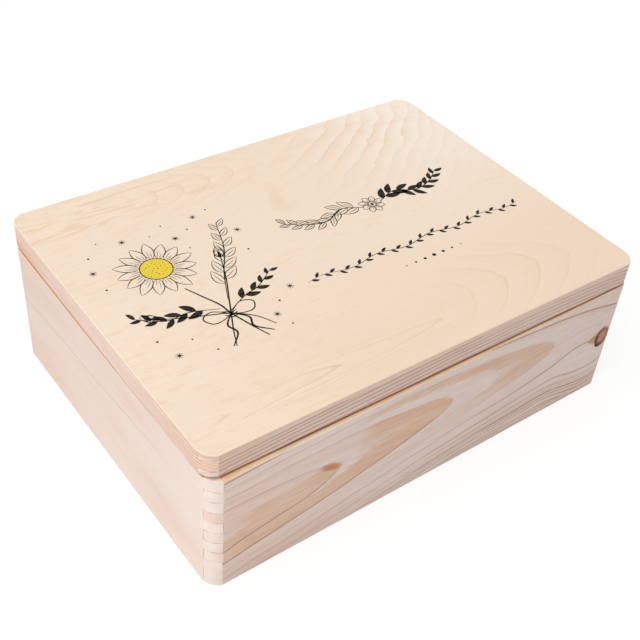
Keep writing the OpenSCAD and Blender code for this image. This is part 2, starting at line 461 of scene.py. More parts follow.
def front_resin(bench, along, up):
    """The resinous, redder tip of the front wall's first tongue: a slanting ellipse."""
    east, north = along - RESIN[0], up - RESIN[1]
    ahead, aside = east + north * -0.9, north + east * 0.5
    away = ahead * ahead * (1 / 210.0) + aside * aside * (1 / 22.0)
    return bench.step(away, 0.05, 1.3, 0.95, 0.0)


def side_figure(bench, point, along, up, deep):
    """The figure of the left wall: almost plain, one faint line and a patch of close ones."""
    sway = bench.streaks(point, 0.012, 0.05) - 0.5
    tilt = up + along * -0.075 + sway * 7.0 + deep * 0.5
    single = bench.hill(tilt, 74.5, 1.1) * bench.drop(along, 60.0, 120.0)
    level = up + along * 0.03 + sway * 3.0 + deep * 0.4
    rings = bench.use("year_rings", rings=level * (1 / 3.1), late_start=0.6, blur=0.3)
    patch = bench.step(along, 20.0, 110.0) * bench.drop(up, 30.0, 62.0)
    broad = bench.step(bench.streaks(point, 0.006, 0.03, 1.0), 0.45, 0.75)
    # Tan towards the back end: partly the wood's own tone, partly painted shade where the wall gets
    # less light.
    front = bench.step(along, -150.0, 60.0, 0.10, 0.0)
    # Painted shade: ring-line colour along the top of the wall where the lid's shadow falls, weaker
    # at the front end.
    upper = bench.step(up, 62.0, 100.0) * bench.step(along, 70.0, 130.0, 0.065, 0.02)
    line = single * 0.40 + rings["Line"] * patch * 0.62 + upper
    return rings["Tan"] * patch * 0.18 + broad * 0.08 + front, line


def tongue_figure(bench, point, along, up, deep, middle, tip, pitch, focal):
    """A flat-sawn figure for the boards that the front view doesn't show: tongues about the
    height middle, with their rings pitch apart along it.
    """
    sway = bench.streaks(point, 0.010, 0.05) - 0.5
    tooth = bench.streaks(point, 0.06, 0.75, 3.0, 0.6) - 0.5
    height = up - middle + along * -0.03 + sway * 9.0
    radial = (height * height + deep * DEPTH_PULL) * (1 / focal)
    ring = radial + (along - tip) + tooth * 9.0
    rings = bench.use("year_rings", rings=ring / pitch, late_start=0.66, blur=0.3)
    return rings["Tan"] * 0.6, rings["Line"] * 0.42


def rail_figure(bench, point, along, up, deep, pitch, slope, bow, strength, fade):
    """Quarter-sawn lines on a lid rail, pitch apart, nearly straight and parallel: they climb by
    slope and bow past the middle. fade is where along the rail they start and end to weaken, and
    to what share.
    """
    sway = bench.streaks(point, 0.010, 0.06) - 0.5
    past = bench.maths("MAXIMUM", along, 0.0)
    height = up + along * -slope + past * past * bow + sway * 3.2 + deep * 0.35
    rings = bench.use("year_rings", rings=height * (1 / pitch), late_start=0.55, blur=0.35)
    start, end, share = fade
    weak = bench.step(along, start, end, 1.0, share)
    tan, line = 0.45 * strength, 0.62 * strength
    return rings["Tan"] * weak * tan, rings["Line"] * weak * line


def add_knot(bench, knot, point, along, up):
    """A knot, given by its place and half sizes, and its tail, a brown wedge that opens towards it
    from a point 20 mm before its heart. Gives the mask of the knot's rim.
    """
    east, north, half_length, half_height = knot
    spot = bench.use(
        "knot", point=point, along=east, up=north, half_length=half_length, half_height=half_height
    )
    ahead, aside = along - (east - 20.0), abs(up - (north + 1.5))
    wedge = bench.step(aside - ahead * 0.55, -2.2, 1.2, 0.85, 0.0)
    wedge = wedge * bench.step(ahead, 0.0, 6.0) * bench.drop(ahead, 18.0, 24.0)
    bench.cover(wedge, shade(196, 144, 114))
    ringed = bench.step(spot["Rings"], -0.6, 0.9, 0.0, 0.5)
    core = bench.blend(ringed, shade(206, 150, 126), shade(160, 106, 84))
    bench.cover(spot["Core"], core)
    bench.cover(spot["Rim"] * 0.95, bpy.context.scene.keepsake_pine.knot)
    return spot["Rim"]


def add_ledge(bench, painted_lid_shade, point, up):
    """A wall's top edge: cream where it shows beside the lid, and a band of painted shade just
    under the lid's rim, orange-brown on the left and paler to the right.
    """
    x, y, _ = bench.split(bench.lid_point())
    inside = bench.maths("MINIMUM", LID_L / 2 - abs(x), LID_W / 2 - abs(y))
    patchy = bench.step(bench.streaks(point, 0.012, 0.0, 1.0), 0.45, 0.65, 0.0, 0.6)
    ledge = bench.blend(patchy, shade(248, 219, 182), shade(240, 186, 134))
    ledge = bench.blend(bench.hill(x, -118.0, 66.0), ledge, shade(255, 238, 216))
    # Painted shade under the lid's rim, turning paler towards the right.
    right = bench.step(x, 0.0, 120.0, 0.0, 0.8)
    shaded = bench.blend(right, painted_lid_shade, shade(200, 162, 128))
    ledge = bench.blend(bench.step(inside, -0.4, 0.9), ledge, shaded)
    top = bench.step(up, WALL_H - 0.9, WALL_H - 0.1)
    bench.cover(top * bench.drop(inside, 1.8, 6.5) * 0.85, ledge)


def pine_finish(
    name,
    centre,
    turn,
    half_length,
    figure,
    fingers,
    tone,
    coarse,
    end_grain_and_corner_light,
    knot=None,
    painted_lid_shade=None,
    resin=None,
    rosy_finger=None,
    paler=None,
):
    """Bare sanded pine for one board.

    centre is the middle of its outer face's foot, and turn brings that face round from the front.
    figure gives the tan and line masks, fingers the mask of the board's own fingers and the level
    of the nearest joint seam, tone a colour that the whole board is multiplied by, coarse how
    strong its grain is, end_grain_and_corner_light how much paler its end grain is and how strongly
    a highlight is painted on its rounded corner, knot its place and half sizes on the face,
    painted_lid_shade the colour of the shade painted on a wall's top edge under the lid, resin the
    mask of a resinous spot, rosy_finger how strong and at what height and reach the fingers turn
    rosy, and paler where along the board it starts to turn paler towards its right end, partly the
    wood's own tone and partly painted light.
    """
    pine = bpy.context.scene.keepsake_pine
    bench = Finish(name, pine.pale)
    along, deep, up = bench.split(bench.point_from(centre, turn))
    point = bench.join(along, up, deep)
    fibre = bench.use("wood_fibre", point=point, length=46.0, width=0.75)
    tan, line = figure(bench, point, along, up, deep)
    tan = tan * bench.step(fibre["Patch"], 0.2, 0.75, 0.6, 1.25)
    bench.cover(bench.maths("MINIMUM", tan, 1.0), pine.tan)
    bench.cover(bench.maths("MINIMUM", line, 1.0), pine.line)
    if resin:
        bench.cover(resin(bench, along, up), shade(206, 144, 102))
    streak, fine = fibre["Streak"] - 0.5, fibre["Fine"] - 0.5
    ripple = bench.streaks(point, 0.017, 0.42) - 0.5
    grain = 1.0 + (streak * 0.16 + fine * 0.16 + ripple * 0.14) * coarse
    bench.cover(1.0, bench.join(grain, grain, grain), "MULTIPLY")
    # Pitch streaks: a few short, thin, dark dashes along the grain.
    pitch = bench.step(bench.streaks(point, 0.05, 1.1, 1.0), 0.68, 0.78, 0.0, 0.4)
    bench.cover(pitch, pine.line)
    rosy = bench.step(bench.streaks(point, 0.008, 0.03), 0.4, 0.7, 0.0, 0.2)
    bench.cover(rosy, shade(244, 216, 204), "MULTIPLY")
    bench.cover(1.0, tone, "MULTIPLY")
    end = bench.use("end_grain", normal=bench.coords["Normal"], turn=turn)["End"]
    pores = bench.step(bench.streaks(point, 0.2, 2.6), 0.35, 0.7, 0.0, 0.25)
    sawn = bench.blend(line * 0.3, bench.blend(pores, pine.end, pine.tan), pine.line)
    bench.cover(end * end_grain_and_corner_light, sawn)
    rough = 0.58 + streak * 0.12 + end * 0.14
    relief = fibre["Streak"] * 0.5 + fibre["Fine"] * 0.35 + line * 0.35
    if knot:
        relief = relief - add_knot(bench, knot, point, along, up) * 0.8
    # Paler towards the right end: partly the wood's own tone, partly painted light where the board
    # is lit more strongly.
    if paler:
        right = bench.step(along, paler, half_length, 0.0, 0.32)
        bench.cover(right, pine.end)
    # Painted shade on the wall's top edge where it lies under the lid's rim.
    if painted_lid_shade:
        add_ledge(bench, painted_lid_shade, point, up)
    own, level = fingers(bench, up)
    seams = bench.use(
        "finger_seams",
        point=point,
        half_length=half_length,
        board=BOARD,
        own_finger=own,
        level=level,
        seam=SEAM_WIDTH,
    )
    # Painted highlight: on the rounded corner, the ends of the board's own fingers are made paler
    # as well, where the round-over catches the light.
    bench.cover(seams["Corner"] * own * end_grain_and_corner_light * 0.5, pine.end)
    cloudy = bench.step(bench.streaks(point, 0.09, 0.09, 1.0), 0.42, 0.6, 0.0, 0.55)
    bench.cover(seams["Corner"] * cloudy * end_grain_and_corner_light, shade(232, 218, 214))
    if rosy_finger:
        amount, height, reach = rosy_finger
        rosy = seams["Corner"] * own * bench.hill(up, height, reach) * amount
        bench.cover(rosy, shade(234, 188, 156))
    broken = bench.step(bench.streaks(point, 0.14, 0.14), 0.42, 0.60, 0.03, 0.9)
    bench.cover(seams["Seam"] * broken, pine.seam)
    return bench.paint(rough, 0.3, relief - seams["Seam"] * 1.2, 0.06)


def wall_fingers(own_first):
    """Seams every 10.5 mm down from the walls' top. own_first is true where the board has the top
    finger.
    """

    def measure(bench, up):
        count = (WALL_H - up) / FINGER_H
        count = bench.maths("MAXIMUM", bench.maths("MINIMUM", count, LAST_SEAM + 0.5), 0.5)
        level = abs(count - bench.maths("ROUND", count)) * FINGER_H
        second = bench.maths("MODULO", bench.maths("FLOOR", count), 2.0)
        return (1.0 - second if own_first else second), level

    return measure


def rail_fingers(own_middle):
    """The lid's one finger in each corner. own_middle is true for the rails that have it."""

    def measure(bench, up):
        low, high = LID_FINGER
        level = bench.maths("MINIMUM", abs(up - low), abs(up - high))
        middle = bench.maths("GREATER_THAN", up, low) * bench.maths("LESS_THAN", up, high)
        return (middle if own_middle else 1.0 - middle), level

    return measure


def sides(length, width):
    """Each side of a box: its name, the middle of its foot, its turn and half its length."""
    east, north = length / 2, width / 2
    return (
        ("front", (0, -north), 0.0, east),
        ("back", (0, north), math.pi, east),
        ("left", (-east, 0), -math.pi / 2, north),
        ("right", (east, 0), math.pi / 2, north),
    )


def on_lid(points):
    """Points in millimetres about the lid's middle, turned and moved as the lid lies."""
    cosine, sine = math.cos(LID_SKEW), math.sin(LID_SKEW)
    x, y = points[..., 0], points[..., 1]
    return np.stack((x * cosine + y * sine, y * cosine - x * sine + LID_BACK), axis=-1)


class KEEPSAKE_OT_walls(Operator):
    """Bare pine on the four walls, each with a figure of its own"""

    bl_idname = "keepsake.walls"
    bl_label = "Finish the walls"

    def execute(self, context):
        def back_figure(*given):
            return tongue_figure(*given, middle=38.0, tip=-120.0, pitch=84.0, focal=7.5)

        def right_figure(*given):
            return tongue_figure(*given, middle=66.0, tip=-20.0, pitch=120.0, focal=9.0)

        # Each wall: its figure, its tone, how coarse its grain is, and the colour of the shade
        # painted on its top edge under the lid.
        looks = {
            "front": (front_figure, (250, 251, 254), 1.95, (208, 140, 92)),
            "back": (back_figure, (254, 251, 250), 1.4, (214, 160, 116)),
            "left": (side_figure, (250, 251, 251), 0.65, (208, 146, 96)),
            "right": (right_figure, (255, 252, 248), 1.2, (214, 160, 116)),
        }
        marks = {
            "front": {"knot": KNOT, "resin": front_resin, "rosy_finger": (0.42, 74.0, 15.0)},
            "left": {"paler": 70.0},
        }
        for side, centre, turn, half in sides(BOX_L, BOX_W):
            figure, tone, coarse, under = looks[side]
            made = pine_finish(
                f"pine_{side}_wall",
                centre,
                turn,
                half,
                figure,
                wall_fingers(side in ("left", "right")),
                shade(*tone),
                coarse,
                0.9,
                painted_lid_shade=shade(*under),
                **marks.get(side, {}),
            )
            wear(f"{side}_wall", made)
        return {"FINISHED"}


class KEEPSAKE_OT_rails(Operator):
    """Pine with close straight lines on the lid's four rails"""

    bl_idname = "keepsake.rails"
    bl_label = "Finish the lid's rails"

    def execute(self, context):
        def front_lines(*given):
            return rail_figure(
                *given, pitch=3.7, slope=0.036, bow=0.00034, strength=1.8, fade=(-80.0, 120.0, 0.7)
            )

        def side_lines(bench, point, along, up, deep):
            place = (bench, point, along, up, deep)
            tan, line = rail_figure(
                *place, pitch=2.8, slope=0.02, bow=-0.0003, strength=1.9, fade=(130.0, 0.0, 0.12)
            )
            # Painted shade: tan over the lower part of the rail towards its back end.
            painted_low_back_shade = bench.drop(along, -140.0, -10.0) * bench.step(up, 116.0, 126.0, 1.0, 0.2)
            return tan + painted_low_back_shade * 0.85, line

        rosy = (0.6, sum(LID_FINGER) / 2, 20.0)
        looks = {
            "front": (front_lines, (243, 240, 240)),
            "back": (side_lines, (252, 248, 244)),
            "left": (side_lines, (249, 244, 241)),
            "right": (front_lines, (252, 248, 244)),
        }
        for side, centre, turn, half in sides(LID_L, LID_W):
            figure, tone = looks[side]
            own_middle = side in ("left", "right")
            made = pine_finish(
                f"pine_lid_{side}_rail",
                on_lid(np.array(centre)).tolist(),
                turn - LID_SKEW,
                half,
                figure,
                rail_fingers(own_middle),
                shade(*tone),
                1.4,
                0.35,
                rosy_finger=rosy if own_middle else None,
            )
            wear(f"lid_{side}_rail", made)
        return {"FINISHED"}


# Plywood


class PlywoodSettings(PropertyGroup):
    """Colours of the birch plywood."""

    face: tint("Veneer", "The sheet's outer veneer", 245, 225, 203)
    figure: tint("Figure", "The veneer's faint darker bands", 237, 204, 172)
    fleck: tint(
        "Fleck", "The veneer's small darker flecks and the thin edges of its rings", 224, 188, 154
    )
    core: tint("Core", "The inner plies, seen at the sheet's edge", 228, 198, 180)


def tongue(x, y, tip, level, focal):
    """Rings that point right: the length past the tip, plus the height off the level squared
    over the focal length.
    """
    height = y - level
    return x - tip + height * height * (1 / focal)


def birch_finish(name, low, facing):
    """Birch plywood: a veneer with faint tongues, bands and short flecks, and plies at the edges.
    low is the sheet's underside, and facing is 1, or -1 for a sheet that is turned half round.
    """
    birch = bpy.context.scene.keepsake_plywood
    bench = Finish(name, birch.face)
    point = bench.stretch(bench.lid_point(), facing, facing, 1.0)
    x, y, z = bench.split(point)
    fibre = bench.use("wood_fibre", point=point, length=22.0, width=0.9)

    # Tongues and bands: each part of the sheet has rings of its own, which fade at its edges.
    broad = bench.streaks(point, 0.005, 0.009)
    crinkle = bench.streaks(point, 0.012, 0.03) - 0.5
    tooth = bench.streaks(point, 0.06, 0.13, 3.0, 0.6) - 0.5
    drift = x + crinkle * 24.0 + tooth * 9.0
    level = y + crinkle * 16.0 + tooth * 4.0
    narrow = y + crinkle * 6.0 + tooth * 1.6
    east = bench.maths("MAXIMUM", x - 20.0, 0.0)
    climb = y + crinkle * 30.0 + tooth * 6.0 + x * -0.36 + east * east * -0.0022
    back_left = tongue(drift, level, -12.0, 122.0, 20.0)
    front_middle = tongue(drift, narrow, 15.0, -123.0, 0.7)
    front_right = tongue(drift, level, 157.0, -108.0, 33.0)
    tan = line = 0.0
    for field, pitch, middle, reach, soft, sharp in (
        (back_left, 24.0, (-50.0, 118.0), (95.0, 55.0), 0.55, 1.1),
        (front_middle, 90.0, (-80.0, -124.0), (160.0, 40.0), 0.60, 3.0),
        (front_right, 33.0, (105.0, -105.0), (120.0, 65.0), 0.42, 0.85),
        (climb, 18.0, (115.0, 90.0), (165.0, 95.0), 0.90, 0.90),
    ):
        rings = bench.use(
            "year_rings", rings=field * (1 / pitch), late_start=0.55, blur=0.45, line_start=0.86
        )
        here = bench.hill(x, middle[0], reach[0]) * bench.hill(y, middle[1], reach[1])
        tan = tan + rings["Tan"] * here * soft
        line = line + rings["Line"] * here * sharp
    # The veneer is warmer towards the front, and painted light makes it paler at the back right.
    front = bench.step(y, 10.0, -110.0, 0.0, 0.25) * bench.step(x, -170.0, -60.0)
    bench.cover(front, birch.figure)
    painted_back_right_light = bench.step(x, 20.0, 180.0) * bench.step(y, -30.0, 100.0, 0.0, 0.75)
    bench.cover(painted_back_right_light, shade(252, 240, 226))
    seen = bench.step(broad, 0.35, 0.62, 0.5, 1.2)
    bench.cover(tan * seen * 0.60, birch.figure)
    bench.cover(line * seen * 0.36, birch.fleck)

    # Peach streaks along the grain at the back left, wavy and short.
    peach = bench.step(bench.streaks(point, 0.02, 0.15, 3.0, 0.55, 0.9), 0.52, 0.66)
    there = bench.hill(y, 128.0, 50.0) * bench.step(x, -90.0, 20.0, 1.0, 0.2)
    bench.cover(peach * (0.06 + there) * 0.95, birch.figure)

    # A short peach mark across the grain behind the middle.
    bowed = x + crinkle * 30.0 + tooth * 14.0
    mark = bench.hill(bowed, -2.0, 11.0) * bench.hill(y, 66.0, 32.0)
    bench.cover(mark * 0.6, birch.figure)

    # Ripples: short wavy marks across the light, in rows on the left third and the middle.
    ripple = bench.step(bench.streaks(point, 0.055, 0.25, 2.0, 0.5, 0.5), 0.48, 0.68)
    left = bench.step(x, -130.0, -40.0, 1.0, 0.25)
    rows = bench.maths("MAXIMUM", left, bench.hill(y, -2.0, 22.0))
    bench.cover(ripple * rows * 0.28, birch.figure)

    # Flecks: short darker dashes along the grain, most on the left.
    fleck = bench.step(bench.streaks(point, 0.09, 0.85), 0.60, 0.74)
    west = bench.step(x, -60.0, 60.0, 1.0, 0.3)
    bench.cover(fleck * west * 0.3, birch.fleck)
    streak = fibre["Streak"] - 0.5
    grain = 1.0 + streak * 0.035 + (broad - 0.5) * 0.05
    bench.cover(1.0, bench.join(grain, grain, grain), "MULTIPLY")

    # Plies: at the sheet's edge, inner plies alternate with the outer ones.
    count = (z - low) * (PLIES / PLY_T)
    odd = bench.maths("MODULO", bench.maths("FLOOR", count), 2.0)
    glue = bench.hill(bench.maths("FRACT", count + 0.5), 0.5, 0.14)
    _, _, upward = bench.split(bench.coords["Normal"])
    edge = bench.drop(abs(upward), 0.35, 0.8)
    bench.cover(edge * 0.6, shade(238, 212, 196))
    bench.cover(odd * edge * 0.75, birch.core)
    bench.cover(glue * edge * 0.42, shade(178, 138, 116))
    # Near the lid's left front corner the edges are darker.
    near = bench.drop(x, -190.0, -110.0) * bench.drop(y, -140.0, -60.0)
    bench.cover(near * edge * 0.40, shade(208, 166, 142))
    rough = 0.5 + streak * 0.1 + edge * 0.15
    relief = fibre["Streak"] * 0.5 + fibre["Fine"] * 0.4 + odd * edge * -0.6
    return bench.paint(rough, 0.35, relief, 0.035)


class KEEPSAKE_OT_plywood(Operator):
    """Birch plywood on the lid's panel and the base"""

    bl_idname = "keepsake.plywood"
    bl_label = "Finish the plywood"

    def execute(self, context):
        wear("lid_panel", birch_finish("birch_lid_panel", PLY_LOW, 1.0))
        wear("base_panel", birch_finish("birch_base_panel", 0.0, -1.0))
        return {"FINISHED"}


# Hinges


class HardwareSettings(PropertyGroup):
    """Colours of the hinges."""

    brass: tint("Brass", "Bright brass plating", 232, 196, 118)
    dull: tint("Dull brass", "Brass that has tarnished", 176, 138, 78)


class KEEPSAKE_OT_hinges(Operator):
    """Brass on the hinge leaves, pins and screws"""

    bl_idname = "keepsake.hinges"
    bl_label = "Finish the hinges"

    def execute(self, context):
        metal = context.scene.keepsake_hardware
        both = ("left", "right")
        leaves = [f"{side}_hinge_{body}_leaf" for side in both for body in ("box", "lid")]
        for name, grit, rough, nodes in (
            ("brass_leaf", 1.0, 0.3, leaves),
            ("brass_pin", 0.5, 0.24, [f"{side}_hinge_pin" for side in both]),
            ("brass_screw", 0.8, 0.34, ["box_hinge_screws", "lid_hinge_screws"]),
        ):
            bench = Finish(name, metal.brass)
            worn = bench.use("metal_wear", point=bench.millimetres(), grit=grit)
            tarnish, scratch = worn["Tarnish"], worn["Scratch"]
            bench.cover(tarnish * 0.7, metal.dull)
            rough = rough + tarnish * 0.2 + scratch * 0.12
            bench.shader.inputs["Metallic"].default_value = 1.0
            made = bench.paint(rough, 0.5, scratch, 0.01)
            for node in nodes:
                wear(node, made)
        return {"FINISHED"}


# Printed ornament

# Steps along a leaf, and the least width of a stroke in millimetres.
INK_SAMPLES = 28
THINNEST = 0.04


class PrintSettings(PropertyGroup):
    """The ornament printed on the lid: a flower posy on the left, leaf borders on the right."""

    ink: tint("Ink", "Black ink of the drawn lines", 24, 21, 20)
    flower: tint("Flower head", "Yellow of the round flower head", 236, 208, 66)
    line: number("Line", "Width of the drawn lines", 0.72 * MM, 0.1 * MM, 3 * MM, unit="LENGTH")
    film: number(
        "Ink film", "How far the ink stands proud", 0.04 * MM, 0.01 * MM, 0.2 * MM, unit="LENGTH"
    )


def column(values):
    """One value, or n of them, as a column."""
    return np.asarray(values, float).reshape(-1, 1)


def rays(angles):
    """Unit vectors at the given angles."""
    return np.stack((np.cos(angles), np.sin(angles)), axis=1)


def smooth_path(corners, steps):
    """A smooth curve through corner points: the uniform Catmull-Rom cubic."""
    corners = np.asarray(corners, float)
    held = np.vstack((2 * corners[0] - corners[1], corners, 2 * corners[-1] - corners[-2]))
    place = np.linspace(0, len(corners) - 1, steps)
    at = np.minimum(place.astype(int), len(corners) - 2)
    t = (place - at)[:, None]
    a, b, c, d = (held[at + k] for k in range(4))
    return (
        2 * b + (c - a) * t + (2 * a - 5 * b + 4 * c - d) * t**2 + (3 * b - a - 3 * c + d) * t**3
    ) / 2


def walk(path, shares):
    """Points and unit directions at the given shares of a path's length."""
    gaps = np.linalg.norm(np.diff(path, axis=0), axis=1)
    run = np.concatenate(([0], np.cumsum(gaps)))
    want = np.asarray(shares) * run[-1]
    points = np.stack([np.interp(want, run, path[:, k]) for k in range(2)], axis=1)
    slope = np.gradient(path, run, axis=0)
    ahead = np.stack([np.interp(want, run, slope[:, k]) for k in range(2)], axis=1)
    return points, ahead / np.linalg.norm(ahead, axis=1, keepdims=True)


def turned(vectors, angle):
    """Vectors of shape (n, 2) turned by an angle."""
    cosine, sine = math.cos(angle), math.sin(angle)
    x, y = vectors[:, 0], vectors[:, 1]
    return np.stack((x * cosine - y * sine, x * sine + y * cosine), axis=1)


def leaf_form(t):
    """A leaf's width from foot to tip: a sine raised to 0.8, fullest a little past the middle."""
    return np.sin(np.pi * t**0.85) ** 0.8


def leaf_lines(feet, ahead, length, width, curl):
    """Centre lines of n leaves, as (midribs, left edges, right edges), of shape (n, steps, 2).
    A midrib leaves its foot straight and curls aside by the square of the share it has run.
    An edge stands off it by half the leaf's width.
    """
    t = np.linspace(0, 1, INK_SAMPLES)
    side = np.stack((-ahead[:, 1], ahead[:, 0]), axis=1)
    reach = column(length) * t
    bend = column(curl) * column(length) * t**2
    ribs = feet[:, None] + ahead[:, None] * reach[..., None] + side[:, None] * bend[..., None]
    full = leaf_form(t) * column(width) / 2
    stand = side[:, None] * full[..., None]
    return ribs, ribs + stand, ribs - stand


class Drawing:
    """Flat pieces of ink film, gathered as arrays and made into one mesh."""

    def __init__(self, low, high):
        self.low, self.high = low, high
        self.points, self.faces, self.count = [], [], 0

    def gather(self, flat, height, *faces):
        """Keeps points, given by their plan and height, and the faces on them."""
        height = np.broadcast_to(height, flat.shape[:-1])
        points = np.concatenate((on_lid(flat), height[..., None]), axis=-1).reshape(-1, 3)
        self.points.append(points)
        for some in faces:
            self.faces += (some + self.count).tolist()
        self.count += len(points)

    def strokes(self, paths, widths):
        """Strokes of shape (n, steps, 2), with a width at each step.
        Each centre line is carried sideways by half its width, at the film's top and at its foot
        inside the veneer: four corners at each step, with a face at both ends.
        """
        strokes, steps = paths.shape[:2]
        ahead = np.gradient(paths, axis=1)
        ahead /= np.maximum(np.linalg.norm(ahead, axis=2, keepdims=True), 1e-9)
        half = np.maximum(widths, THINNEST)[..., None] / 2
        side = np.stack((-ahead[..., 1], ahead[..., 0]), axis=2) * half
        flat = np.stack((paths + side, paths - side, paths - side, paths + side), axis=2)
        at = np.arange(strokes * steps * 4).reshape(strokes, steps, 4)
        here, there = at[:, :-1], at[:, 1:]
        walls = np.stack((here, np.roll(here, -1, 2), np.roll(there, -1, 2), there), axis=3)
        ends = np.concatenate((at[:, 0, ::-1], at[:, -1]))
        height = (self.high, self.high, self.low, self.low)
        self.gather(flat, height, walls.reshape(-1, 4), ends)

    def lines(self, paths, width, ends=0.35):
        """Pen strokes: thin at both ends and full in the middle, as half a sine wave."""
        share = np.sin(np.pi * np.linspace(0, 1, paths.shape[1]))
        self.strokes(paths, width * (ends + (1 - ends) * share))

    def leaves(self, ribs, width):
        """Filled leaves: one broad stroke along each midrib."""
        self.strokes(ribs, column(width) * leaf_form(np.linspace(0, 1, ribs.shape[1])))

    def discs(self, centres, radii, steps):
        """Round dots: a ring of points at each radius, at the film's top and foot, and a middle
        for each.
        """
        centres, radii = np.asarray(centres, float), np.asarray(radii, float)
        ring = rays(np.linspace(0, 2 * np.pi, steps, endpoint=False))
        rims = centres[:, None] + ring[None] * radii[:, None, None]
        flat = np.concatenate((rims, rims, centres[:, None], centres[:, None]), axis=1)
        height = np.repeat((self.high, self.low, self.high, self.low), (steps, steps, 1, 1))
        at = np.arange(len(centres) * (2 * steps + 2)).reshape(len(centres), -1)
        top, foot = at[:, :steps], at[:, steps : 2 * steps]
        over, under = np.roll(top, -1, 1), np.roll(foot, -1, 1)
        middle, base = (np.broadcast_to(at[:, k : k + 1], top.shape) for k in (-2, 2 * steps + 1))
        self.gather(
            flat,
            height,
            np.stack((top, foot, under, over), axis=2).reshape(-1, 4),
            np.stack((middle, top, over), axis=2).reshape(-1, 3),
            np.stack((base, under, foot), axis=2).reshape(-1, 3),
        )

    def make(self, name, finish):
        mesh = bpy.data.meshes.new(name)
        mesh.from_pydata((np.concatenate(self.points) * MM).tolist(), [], self.faces)
        mesh.validate()
        mesh.materials.append(finish)
        made = bpy.data.objects.new(name, mesh)
        bpy.context.scene.collection.objects.link(made)
        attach(made, "lid")


def ink_finish(name, colour, worn, rough):
    """Ink printed on wood: flat colour that thins a little over the veneer's fibres."""
    bench = Finish(name, colour)
    fibre = bench.use("wood_fibre", point=bench.millimetres(), length=9.0, width=0.7)
    thin = bench.step(fibre["Streak"], 0.5, 0.85) * worn
    bench.cover(thin, bpy.context.scene.keepsake_plywood.figure)
    return bench.paint(rough + fibre["Fine"] * 0.15, 0.15, fibre["Streak"], 0.02)


def draw_branch(ink, corners, line, first, last, pairs, length, width, filled):
    """A leafy branch: a stem through the corners with leaves on both sides, larger at its foot.
    first and last say at what shares of the stem the first and the last leaves stand.
    """
    stem = smooth_path(corners, 60)
    ink.lines(stem[None], line * 1.25, 0.45)
    shares = np.linspace(first, last, pairs)
    grown = np.linspace(1.0, 0.62, pairs)
    for side, shift in ((1, 0.0), (-1, 0.5 * (last - first) / pairs)):
        feet, ahead = walk(stem, np.minimum(shares + shift, 0.99))
        ahead = turned(ahead, side * math.radians(46))
        ribs, left, right = leaf_lines(feet, ahead, length * grown, width * grown, -side * 0.22)
        if filled:
            ink.leaves(ribs, width * grown)
        else:
            ink.lines(left, line)
            ink.lines(right, line)
            ink.lines(ribs[:, : INK_SAMPLES * 3 // 4], line * 0.7)


def draw_flower(ink, heart, radius, petals, length, line, lean):
    """A daisy seen from above: a ringed heart, and petals round it with two veins each."""
    ring = rays(np.linspace(0, 2 * np.pi, 72))
    ink.lines((heart + ring * radius)[None], line * 1.1, 1.0)
    angles = lean + np.linspace(0, 2 * np.pi, petals, endpoint=False)
    out = rays(angles)
    wide = 2 * np.pi * (radius + length * 0.5) / petals * 0.94
    reach = length * (1 + 0.07 * np.sin(5 * angles + 1))
    ribs, left, right = leaf_lines(heart + out * radius, out, reach, wide, 0.03)
    ink.lines(left, line)
    ink.lines(right, line)
    for shift, share in ((0.16, 0.55), (-0.16, 0.42)):
        vein = ribs + (left - ribs) * shift * 2
        ink.lines(vein[:, 2 : int(INK_SAMPLES * share)], line * 0.55)


